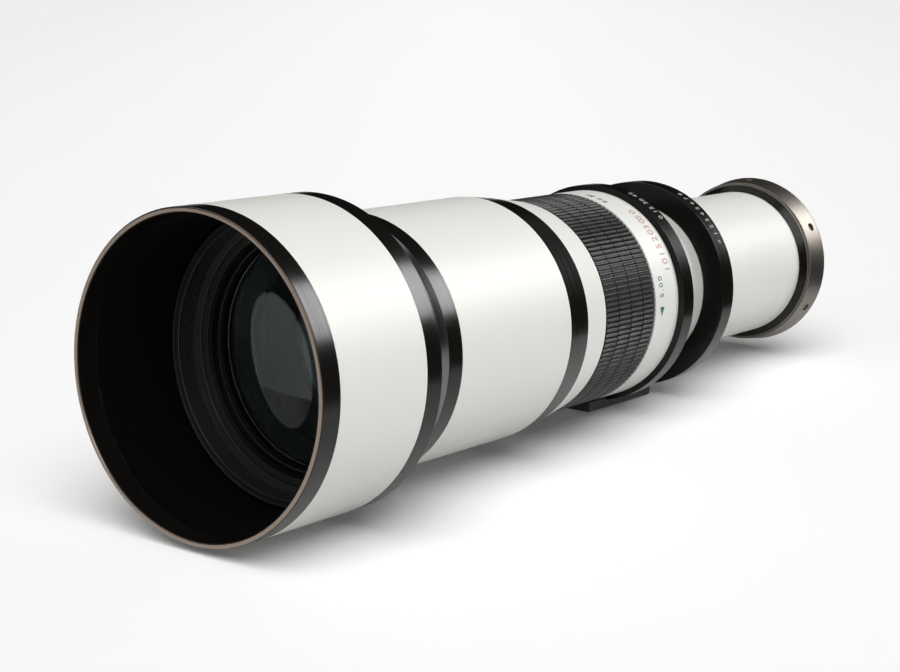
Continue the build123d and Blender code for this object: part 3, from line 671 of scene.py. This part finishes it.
def mount_ring():
    """Ring at the rear of the hood, with a sleeve that has a grooved lip and fine ridges."""
    front, rear, inner, outer = measure("hood_mount_ring")
    lip_front = front + 3.1 * mm
    lip_outer = outer - 2.9 * mm
    bore = lip_outer - 2.5 * mm
    lip_bore = bore - 0.3 * mm
    lip_face = lip_front + 0.6 * mm
    lip_rear = lip_front + 1.6 * mm
    groove_floor = lip_front + 1.3 * mm
    floor_edge = 0.7 * mm
    web_front = front + 13.5 * mm
    web_chamfer = 0.4 * mm
    ridges_end = web_front - 1.3 * mm
    pitch = (ridges_end - lip_rear - 0.4 * mm) / ridge_count
    corners = [
        (lip_front, lip_outer, fine_edge), (web_front, lip_outer), (web_front, outer), (rear, outer),
        (rear, inner), (web_front, inner, soft_edge), (web_front - web_chamfer, bore),
    ]
    corners.extend(repeated(ridge_shape, ridge_count, ridges_end, pitch, bore, ridge_depth, sharp_edge))
    corners.extend([
        (lip_rear, lip_bore, sharp_edge), (lip_face, lip_bore, soft_edge), (lip_face, bore + 0.4 * mm),
        (groove_floor, bore + floor_edge), (groove_floor, lip_outer - floor_edge),
        (lip_front, lip_outer - 0.5 * mm, fine_edge),
    ])
    # The sleeve's ridges get painted shade, dead black in their hollows.
    finish = black_with_painted_shade_in_hollows(bore, lip_outer)
    turned_piece("mount_ring_with_ridges", "hood", "hood_mount_ring", corners, [finish])


# Objective


def objective_pieces():
    """Front cell with its filter thread, the retaining ring and the two glasses."""
    front, rear, inner, outer = measure("front_cell")
    retainer_front, retainer_rear, clear, glass_radius = measure("front_retaining_ring")
    second_rear = measure("second_element")[1]
    thread_radius = outer - 4.35 * mm
    thread_front = front + 1.4 * mm
    face_radius = thread_radius + 1.4 * mm
    glass_seat = glass_radius + clearance
    shoulder = measure("front_band")[0] - 8.0 * mm
    relief = outer - 1.65 * mm
    back_bore = relief - 1.6 * mm
    ledge = second_rear + clearance
    stop = inner - 8.0 * mm
    stop_rear = ledge + 2.0 * mm
    stop_chamfer = 0.4 * mm
    corners = [
        (front, face_radius, soft_edge), (front, outer), (shoulder, outer), (shoulder, relief),
        (rear, relief), (rear, back_bore), (stop_rear, back_bore), (stop_rear, stop),
        (ledge + stop_chamfer, stop), (ledge, stop + stop_chamfer), (ledge, glass_seat),
        (retainer_front, glass_seat),
    ]
    turns = int((retainer_front - thread_front) / thread_pitch)
    corners.extend(repeated(
        thread_shape, turns, retainer_front, thread_pitch, thread_radius, thread_depth, thread_rounding
    ))
    corners.append((thread_front, thread_radius, sharp_edge))
    turned_piece("objective_cell", "barrel", "front_cell", corners, [bore_black, thread_black])

    bevel = 0.5 * mm
    turned_piece("objective_retaining_ring", "barrel", "front_retaining_ring", [
        (retainer_front, clear + bevel), (retainer_front, glass_radius), (retainer_rear, glass_radius),
        (retainer_rear, clear), (retainer_front + bevel, clear),
    ], [thread_black])

    front = retainer_rear + clearance
    rear = front + glass_edge
    dressed(lens(
        "front_glass", dome(front, clear, glass_front_curve, -1), dome(rear, clear, glass_back_curve, 1),
        front, rear, glass_radius, [front_glass, rear_face_glass, thread_black],
    ), "barrel", "front_element")

    rear = second_rear
    front = rear - second_edge
    dressed(lens(
        "second_glass", dome(front, clear, -second_curve, -1), flat_face(rear, clear),
        front, rear, glass_radius, [inner_glass, inner_glass, thread_black],
    ), "barrel", "second_element")


# Barrel


def barrel_pieces():
    """Front band, white barrel, tapered band, name band, rear plate and fixed tube."""
    front, rear, inner, outer = measure("front_band")
    turned_piece("front_black_band", "barrel", "front_band", [
        (front, inner), (front - band_cone, inner), (front - band_cone, outer - band_cone_rise),
        (front, outer), (rear, outer), (rear, inner),
    ], [step_black(front)], smooth_turn)

    barrel = plain_ring("main_barrel")
    turned_piece("white_barrel", "barrel", "main_barrel", barrel, [white, bare_inside], smooth_turn)

    front, rear, seat, wide = measure("taper_band")
    narrow = wide - 1.8 * mm
    wall = 2.5 * mm
    web = 3.2 * mm
    turned_piece("tapered_black_band", "barrel", "taper_band", [
        (front, seat), (front, wide), (rear, narrow), (rear, narrow - wall),
        (front + web, wide - 2 * wall), (front + web, seat),
    ], [black, bore_black], smooth_turn)

    front, rear, seat, wide = measure("name_band")
    narrow = measure("scale_ring")[3]
    turned_piece("white_name_band", "barrel", "name_band", [
        (front, wide - wall), (front, wide), (rear, narrow), (rear, seat),
        (rear - web, seat), (rear - web, narrow - wall),
    ], [white, bore_black], smooth_turn)

    plate = plain_ring("rear_plate", soft_edge, soft_edge)
    turned_piece("collar_keeper_plate", "barrel", "rear_plate", plate, [black])

    plate_front, _, plate_bore, _ = measure("rear_plate")
    front, rear, inner, outer = measure("mid_tube")
    seat_front = plate_front - 36.0 * mm
    tube_outer = plate_bore - clearance
    guide_front = rear - 12.0 * mm
    relief = inner + 1.4 * mm
    turned_piece("white_fixed_tube", "barrel", "mid_tube", [
        (front, relief), (front, tube_outer), (seat_front, tube_outer), (seat_front, outer),
        (plate_front, outer), (plate_front, tube_outer), (rear, tube_outer), (rear, inner),
        (guide_front, inner), (guide_front, relief),
    ], [white, bore_black])


# Focus ring


def focus_grip():
    """Rubber ring with four rows of ribs, as a height over a grid of station and angle.

    Round the ring each rib rises over rounded flanks to a top with a shallow dip, and the
    angles between ribs stay at the groove's floor. Along the axis the ribs stop between rows.
    """
    front, rear, inner, outer = measure("focus_grip")
    floor = outer - grip_depth
    row = (rear - front - 2 * grip_border - (grip_rows - 1) * grip_row_gap) / grip_rows
    phase = np.array([0.0, 0.14, 0.2, 0.28, 0.37, 0.5, 0.57, 0.64, 0.77, 0.86, 0.94])
    across = np.array([0.0, 0.0, 0.5, 0.85, 1.0, 0.97, 0.84, 0.97, 1.0, 0.85, 0.5])
    inset = np.array([0.0, 0.06, 0.2]) * mm
    along = np.array([0.0, 0.86, 1.0])
    stations = [front]
    shares = [0.0]
    for index in range(grip_rows):
        start = front + grip_border + index * (row + grip_row_gap)
        stations.extend([*(start + inset), *(start + row - inset[::-1])])
        shares.extend([*along, *along[::-1]])
    stations.append(rear)
    shares.append(0.0)
    angles = (np.arange(grip_ribs)[:, None] + phase).reshape(-1) * 2 * math.pi / grip_ribs
    share = np.array(shares)[:, None] * np.tile(across, grip_ribs)[None, :]
    height = floor + grip_depth * share
    station = np.repeat(np.array(stations)[:, None], len(angles), axis=1)
    outer_points = np.stack([station, -height * np.sin(angles), height * np.cos(angles)], axis=2)
    bore = np.array([(rear, inner), (front, inner)])
    points = np.concatenate([outer_points, about_axis(bore, angles)])[::-1]
    mesh = grid_mesh("grip", points, None, True, True)
    mesh.set_sharp_from_angle(angle=crease)
    dressed(linked("ribbed_grip", mesh, [rubber]), "focus_ring", "focus_grip")


def scale_ring():
    """White scale ring with a fine groove near its rear edge."""
    front, rear, inner, outer = measure("scale_ring")
    groove = rear - 2.6 * mm
    depth = 0.35 * mm
    turned_piece("white_scale_ring", "focus_ring", "scale_ring", [
        (front, inner), (front, outer), (groove - depth, outer, sharp_edge),
        (groove, outer - depth, sharp_edge), (groove + depth, outer, sharp_edge),
        (rear, outer, soft_edge), (rear, inner),
    ], [white, bore_black], smooth_turn)


# Tripod collar


def collar():
    """Black collar with a chamfered front edge."""
    front, rear, inner, _ = measure("collar_ring")
    low_radius = measure("scale_ring")[3]
    radius = low_radius + collar_step
    chamfer_rear = front + 0.7 * mm
    turned_piece("collar_band", "tripod_collar", "collar_ring", [
        (front, inner), (front, low_radius), (chamfer_rear, radius, soft_edge),
        (rear, radius, soft_edge), (rear, inner),
    ], [black], smooth_turn)


# Zoom lock and rear tube


def zoom_lock_ring():
    """Large black ring with a nearly flat front face and a thin rim."""
    front, rear, lip_bore, outer = measure("zoom_lock_ring")
    bore = measure("rear_plate")[2] - clearance + 0.3 * mm
    hub = bore + 2.4 * mm
    rim_front = front + 2.1 * mm
    rim_inner = outer - 3.4 * mm
    web_rear = front + 6.5 * mm
    lip_front = rear - 3.7 * mm
    front_chamfer = 0.4 * mm
    rear_chamfer = 0.8 * mm
    turned_piece("lock_ring", "zoom_lock", "zoom_lock_ring", [
        (front, bore), (rim_front, outer - front_chamfer, fine_edge),
        (rim_front + front_chamfer, outer, fine_edge), (rear - rear_chamfer, outer, fine_edge),
        (rear, outer - rear_chamfer, fine_edge), (rear, rim_inner), (web_rear, rim_inner, soft_edge),
        (web_rear, hub, soft_edge), (rear, hub), (rear, lip_bore), (lip_front, lip_bore), (lip_front, bore),
    ], [black], smooth_turn)


def rear_tube_pieces():
    """White sliding tube, its black end ring and the rear glass."""
    tube = plain_ring("rear_tube")
    turned_piece("white_sliding_tube", "zoom_tube", "rear_tube", tube, [white, bore_black], smooth_turn)

    _, tube_rear, tube_bore, _ = measure("rear_tube")
    front, rear, spigot_bore, outer = measure("tube_end_ring")
    sleeve = tube_bore - clearance
    sleeve_bore = sleeve - 2.85 * mm
    flange = sleeve + 2.4 * mm
    wall = 2.6 * mm
    wall_rear = tube_rear + wall
    chamfer = 0.4 * mm
    spigot = spigot_bore + 2.4 * mm
    turned_piece("black_end_ring", "zoom_tube", "tube_end_ring", [
        (front, sleeve_bore), (front, sleeve), (tube_rear, sleeve), (tube_rear, flange),
        (wall_rear - chamfer, outer, fine_edge), (wall_rear, outer, fine_edge), (wall_rear, spigot),
        (rear, spigot), (rear, spigot_bore), (wall_rear - wall, spigot_bore, soft_edge),
    ], [black])

    front, _, _, radius = measure("rear_element")
    rear = front + rear_glass_edge
    clear = radius - 1.5 * mm
    dressed(lens(
        "rear_glass", flat_face(front, clear), dome(rear, clear, rear_glass_curve, 1),
        front, rear, radius, [inner_glass, inner_glass, thread_black],
    ), "zoom_tube", "rear_element")


def adapter():
    """Bright outer adapter: conical body with screw holes, bayonet throat and its claws.

    Each hole is a square patch of the surface, one reach to each side of its middle. U and v
    run from -1 to 1 over it along and round the axis, and are larger than 1 elsewhere.
    """
    front, throat_rear, throat, outer = measure("adapter_flange")
    bore = measure("adapter_ring")[3] + clearance
    screw_front, screw_rear = measure("adapter_screws")[:2]
    middle = (screw_front + screw_rear) / 2
    body = outer - adapter_rise
    lip = body - 0.85 * mm
    lip_rear = front + 1.0 * mm
    cone_rear = -0.8 * mm
    plate = -2.6 * mm
    corner = 0.25 * mm
    bevel = 0.2 * mm
    throat_outer = throat + 2.5 * mm
    spread = np.concatenate([-hole_rings[:0:-1], hole_rings])
    stations = middle + hole_reach * spread
    slope = (outer - body) / (cone_rear - lip_rear)
    before = [
        (front, bore), (front, lip - corner), (front + corner, lip), (lip_rear, lip),
        (lip_rear, body - corner), (lip_rear + corner, body),
    ]
    pierced = np.column_stack([stations, body + slope * (stations - lip_rear)])
    after = [
        (cone_rear, outer), (-bevel, outer), (0.0, outer - bevel), (0.0, throat_outer),
        (throat_rear - bevel, throat_outer), (throat_rear, throat_outer - bevel),
        (throat_rear, throat), (plate, throat), (plate, bore),
    ]
    outline = np.concatenate([before, pierced, after])
    u = np.concatenate([np.full(len(before), outside_hole), spread, np.full(len(after), outside_hole)])
    half = hole_reach / body
    pitch = 2 * math.pi / hole_count
    plain = np.linspace(half, pitch - half, 26)[1:-1]
    one_pitch = np.concatenate([spread * half, plain])
    angle = np.concatenate([pitch * index + one_pitch for index in range(hole_count)])
    v = np.tile(np.concatenate([spread, np.full(len(plain), outside_hole)]), hole_count)
    points = pierced_points(outline, angle, u[:, None], v[None, :], body)
    meshes = [grid_mesh("adapter", points[::-1], None, True, True)]
    for index in range(claw_count):
        meshes.append(claw(
            throat_rear - 1.5 * mm, throat_rear, throat_outer - 1.0 * mm, throat_outer + 2.4 * mm, index
        ))
    piece = linked("bright_adapter", joined("adapter_with_claws", meshes), [nickel])
    dressed(piece, "zoom_tube", "adapter_flange")


def pierced_points(outline, angle, u, v, body):
    """Turned outline with round holes sunk in it.

    The larger of the sizes of u and v says which ring round a hole a point is on: the rings
    turn from the square to circles towards the hole, step down at its wall, and fill its
    floor. Outside the squares a point stays where turning puts it.
    """
    ring = np.maximum(np.abs(u), np.abs(v))
    inside = ring < 1.0
    length = np.maximum(np.hypot(u, v), 1e-9)
    rings = np.concatenate([hole_rings[:1], hole_rings[4:]])
    radii = [0.0, hole_radius - 0.03 * mm, hole_radius, hole_radius + 0.12 * mm, hole_rim, hole_reach]
    depths = [hole_depth, hole_depth, 0.15 * mm, 0.0, 0.0, 0.0]
    radius = np.interp(ring, rings, radii)
    depth = np.interp(ring, rings, depths)
    round_share = np.interp(ring, rings, [1.0, 1.0, 1.0, 1.0, 0.5, 0.0])
    along = round_share * radius * u / length + (1 - round_share) * hole_reach * u
    sideways = round_share * radius * v / length + (1 - round_share) * hole_reach * v
    station = outline[:, :1] + np.where(inside, along - hole_reach * u, 0.0)
    turn = angle[None, :] + np.where(inside, (sideways - hole_reach * v) / body, 0.0)
    height = outline[:, 1:] - np.where(inside, depth, 0.0)
    return np.stack([station + 0.0 * turn, -height * np.sin(turn), height * np.cos(turn)], axis=2)


def claw(front, rear, low, high, index):
    """Curved bayonet claw: a bevelled rectangle swept round the axis, with closed ends."""
    start = math.radians(360.0 / claw_count * index + claw_start)
    turn = start + np.linspace(0.0, math.radians(claw_sweep), 16)
    turn = np.concatenate([turn[:1], turn, turn[-1:]])
    bevel = 0.2 * mm
    outline = np.array([
        (front, low), (front, high), (rear - bevel, high), (rear, high - bevel), (rear, low),
    ])
    points = about_axis(outline, turn)
    points[:, 0] = points[:, 0].mean(axis=0)
    points[:, -1] = points[:, -1].mean(axis=0)
    mesh = grid_mesh("claw", points[::-1], None, True, False)
    weld(mesh)
    return mesh


def joined(name, meshes):
    """One mesh of several, with its edges sharp where the surface turns quickly."""
    work = bmesh.new()
    for mesh in meshes:
        work.from_mesh(mesh)
    whole = bpy.data.meshes.new(name)
    work.to_mesh(whole)
    work.free()
    whole.set_sharp_from_angle(angle=crease)
    return whole


def carried_nodes():
    """Gives the CAD nodes that stay their own finish."""
    finishes = {
        bore_black: ["element_spacer", "light_baffle", "inner_barrel", "focus_carriage",
                     "focus_retaining_ring", "zoom_carriage", "rear_cell"],
        black: ["collar_knob"],
        aluminium: ["focus_sleeve", "lock_collet"],
        foot_coat: ["tripod_foot"],
        steel: ["foot_screws", "focus_pins", "tube_keys", "adapter_screws"],
        nickel: ["adapter_ring"],
        inner_glass: ["focus_front_element", "focus_rear_element", "zoom_front_element",
                      "zoom_rear_element"],
    }
    for material, names in finishes.items():
        for name in names:
            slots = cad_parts[name].data.materials
            for index in range(len(slots)):
                slots[index] = material


# Marks


def wrapped(corners, station, radius, angle):
    """Points of a flat drawing laid on a cylinder, read upwards from the near side.

    The reading direction goes to smaller angles, the letters' tops point to the front, and
    the drawing's own height lifts it off the surface.
    """
    turn = math.radians(angle) - corners[:, 0] / radius
    lift = radius + mark_lift + corners[:, 2]
    return np.stack([station - corners[:, 1], -lift * np.sin(turn), lift * np.cos(turn)], axis=1)


def written(words, height, spacing):
    """Corners and faces of a line of figures in the built-in font, centred, with a height."""
    curve = bpy.data.curves.new("words", "FONT")
    curve.body = words
    curve.space_character = spacing
    curve.extrude = 0.01
    line = bpy.data.objects.new("words", curve)
    mesh = line.to_mesh()
    flat = np.empty(len(mesh.vertices) * 3, np.float32)
    mesh.vertices.foreach_get("co", flat)
    corners = flat.reshape(-1, 3).astype(float)
    faces = [tuple(face.vertices) for face in mesh.polygons]
    line.to_mesh_clear()
    bpy.data.objects.remove(line)
    corners -= (corners.min(axis=0) + corners.max(axis=0)) / 2
    corners *= height / np.ptp(corners[:, 1])
    corners[:, 2] = np.sign(corners[:, 2]) * mark_lift / 2
    return corners, faces


def triangle(length, width):
    """Corners and faces of a flat triangle that points along the line of reading."""
    tips = np.array([(length / 2, 0.0), (-length / 2, width / 2), (-length / 2, -width / 2)])
    low = np.column_stack([tips, np.full(3, -mark_lift / 2)])
    high = np.column_stack([tips, np.full(3, mark_lift / 2)])
    faces = [(2, 1, 0), (3, 4, 5), (0, 1, 4, 3), (1, 2, 5, 4), (2, 0, 3, 5)]
    return np.concatenate([low, high]), faces


def mark(name, drawing, place, ink, body):
    """Ink on a body: a flat drawing at a station, radius and angle."""
    corners, faces = drawing
    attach(flat_piece(name, wrapped(corners, *place).tolist(), faces, ink), body)


def marks():
    """Figures and triangles on the scale ring, the tripod collar and the lock ring.

    A mark's place is its station, the radius it lies on, and its angle in degrees.
    """
    front, _, _, scale = measure("scale_ring")
    near_line = front + 5.3 * mm
    arrow_length, arrow_width, figure = 4.3 * mm, 3.6 * mm, 3.1 * mm
    for name, drawing, angle in (
        ("near_triangle", triangle(-arrow_length, arrow_width), 90.7),
        ("near_figure", written("5.00", figure, 1.35), 77.5),
        ("far_figure", written("80", figure, 1.35), 17.0),
        ("far_triangle", triangle(arrow_length, arrow_width), 8.5),
    ):
        mark(name, drawing, (near_line, scale, angle), green_ink, "focus_ring")
    distance_line = front + 13.6 * mm
    for words, angle in (("10", 66.0), ("15", 57.5), ("20", 49.0), ("30", 41.0), ("50", 33.5)):
        drawing = written(words, 4.2 * mm, 1.25)
        mark("distance_" + words, drawing, (distance_line, scale, angle), red_ink, "focus_ring")

    collar_line = measure("collar_ring")[0] + 6.0 * mm
    collar_radius = scale + collar_step
    for words, angle in (("0", 40.5), ("15", 34.5), ("30", 27.5), ("45", 20.5)):
        drawing = written(words, 3.0 * mm, 1.15)
        mark("collar_" + words, drawing, (collar_line, collar_radius, angle), white_ink, "tripod_collar")

    _, rear, _, lock_radius = measure("zoom_lock_ring")
    lock_line = rear - 5.0 * mm
    mark("lock_index", written("o", 1.5 * mm, 1.0), (lock_line, lock_radius, 60.0), white_ink, "zoom_lock")
    for index in range(8):
        drawing = written(str(index + 1), 2.8 * mm, 1.0)
        place = (lock_line, lock_radius, 55.0 - 4.4 * index)
        mark(f"lock_{index + 1}", drawing, place, white_ink, "zoom_lock")


# Stage, light and camera


def floor_material():
    """Pale floor with painted shade, a little darker away from the middle, which gives back less light than
    it shows.
    """
    material, tree, shader = new_material("pale_floor", (0.97, 0.97, 0.97), 1.0)
    shader.inputs["Specular IOR Level"].default_value = 0.0
    mapping = node(tree, "ShaderNodeMapping", vector_type="TEXTURE")
    mapping.inputs["Location"].default_value = floor_middle
    mapping.inputs["Rotation"].default_value = (0.0, 0.0, floor_turn)
    mapping.inputs["Scale"].default_value = (*floor_painted_shade_scale, 1.0)
    tree.links.new(object_place(tree), mapping.inputs["Vector"])
    distance = node(tree, "ShaderNodeVectorMath", operation="LENGTH")
    tree.links.new(mapping.outputs[0], distance.inputs[0])
    # Painted shade: the colour the floor shows darkens away from the middle of the ellipse.
    fade = remap(tree, distance.outputs["Value"], 0.0, 1.0, 0.2, 1.6)
    shown = blend_colour(tree, fade, (0.97, 0.97, 0.97), (0.87, 0.87, 0.87))
    path = node(tree, "ShaderNodeLightPath")
    seen = math_node(tree, "MAXIMUM", path.outputs["Is Camera Ray"], path.outputs["Is Glossy Ray"])
    seen = math_node(tree, "MAXIMUM", seen, path.outputs["Is Transmission Ray"])
    colour_between(tree, shader, seen, (0.62, 0.62, 0.62), shown)
    shader.inputs["Emission Color"].default_value = (1.0, 1.0, 1.0, 1.0)
    tree.links.new(math_node(tree, "MULTIPLY", seen, floor_glow), shader.inputs["Emission Strength"])
    return material


def make_floor():
    """Large plane under the hood's rear edge and the foot."""
    hood_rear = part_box("hood_rear_rim")[1].x
    hood_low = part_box("hood_rear_rim")[0].z
    across = np.array([[-1, -1], [1, -1], [1, 1], [-1, 1]]) * floor_half
    height = hood_low + (across[:, 0] - hood_rear) * math.tan(floor_slope)
    corners = np.column_stack([across, height]).tolist()
    floor = flat_piece("floor", corners, [(0, 1, 2, 3)], floor_material())
    return floor


def make_world():
    """Soft room light: pale above and in front of the lens, with two paler walls.

    One wall stands behind the lens. The other is what the glass shows through the hood's mouth.
    """
    world = bpy.data.worlds.new("studio")
    bpy.context.scene.world = world
    world.use_nodes = True
    tree = world.node_tree

    def towards(direction):
        made = node(tree, "ShaderNodeVectorMath", operation="DOT_PRODUCT")
        made.inputs[1].default_value = direction
        tree.links.new(node(tree, "ShaderNodeTexCoord").outputs["Generated"], made.inputs[0])
        return made.outputs["Value"]

    front = remap(tree, towards((-1.0, -0.1, 0.4)), 0.05, world_light, -0.3, 0.5)
    back = remap(tree, towards((0.96, 0.0, 0.28)), 0.0, back_light, 0.93, 0.97)
    mouth = remap(tree, towards((-0.99, 0.0, 0.12)), 0.0, mouth_light, 0.72, 0.84)
    strength = math_node(tree, "ADD", math_node(tree, "ADD", front, back), mouth)
    tree.links.new(strength, tree.nodes["Background"].inputs["Strength"])


def area_lamp(name, direction, distance, width, power, length):
    """Soft elliptical lamp that faces the middle of the lens, with its length round the lens axis."""
    middle = (cad_low + cad_high) / 2
    direction = Vector(direction).normalized()
    round_axis = Vector((1.0, 0.0, 0.0)).cross(direction).normalized()
    data = bpy.data.lights.new(name, "AREA")
    data.shape = "ELLIPSE"
    data.size = width
    data.size_y = length
    data.energy = power
    lamp = placed(name, data)
    turn = Matrix((round_axis.cross(direction), round_axis, direction)).transposed()
    lamp.matrix_world = Matrix.Translation(middle + distance * direction) @ turn.to_4x4()
    return lamp


def only_for(lamp, floor, state):
    """Limits a lamp to the floor, or keeps it off the floor."""
    group = bpy.data.collections.new(lamp.name + "_links")
    group.objects.link(floor)
    lamp.light_linking.receiver_collection = group
    group.collection_objects[0].light_linking.link_state = state


def make_lights(floor):
    """Lamps for the lens, a broad one for the floor, and the black card."""
    for name, settings in lamps.items():
        only_for(area_lamp(name, *settings), floor, "EXCLUDE")

    data = bpy.data.lights.new("floor_light", "SUN")
    data.angle = floor_spread
    data.energy = floor_power
    floor_light = placed("floor_light", data)
    floor_light.rotation_euler = Vector(floor_direction).to_track_quat("Z", "Y").to_euler()
    only_for(floor_light, floor, "INCLUDE")
    make_card()


def make_card():
    """Black card that stands beside the lens, outside the picture, and shows in gloss alone."""
    first, last = np.array(card_ends) * mm
    corners = [(*first, card_low), (*last, card_low), (*last, card_high), (*first, card_high)]
    card = flat_piece("black_card", corners, [(0, 1, 2, 3)], flock)
    card.visible_camera = False
    card.visible_diffuse = False
    card.visible_shadow = False
    card.visible_transmission = False


def make_camera():
    """Camera at the photo's place, level with the floor."""
    data = bpy.data.cameras.new("camera")
    data.lens = camera_lens
    data.sensor_width = camera_sensor
    data.clip_start, data.clip_end = camera_clip
    camera = placed("camera", data)
    aim = Vector(camera_aim).normalized()
    floor_up = Vector((-math.sin(floor_slope), 0.0, math.cos(floor_slope)))
    right = aim.cross(floor_up).normalized()
    up = right.cross(aim)
    turn = Matrix((right, up, -aim)).transposed()
    camera.matrix_world = Matrix.Translation(Vector(camera_place) * mm) @ turn.to_4x4()
    bpy.context.scene.camera = camera


make_camera()
bpy.context.scene.view_settings.view_transform = "Standard"
make_world()
make_lights(make_floor())
hood_pieces()
objective_pieces()
barrel_pieces()
focus_grip()
scale_ring()
collar()
zoom_lock_ring()
rear_tube_pieces()
adapter()
carried_nodes()
marks()
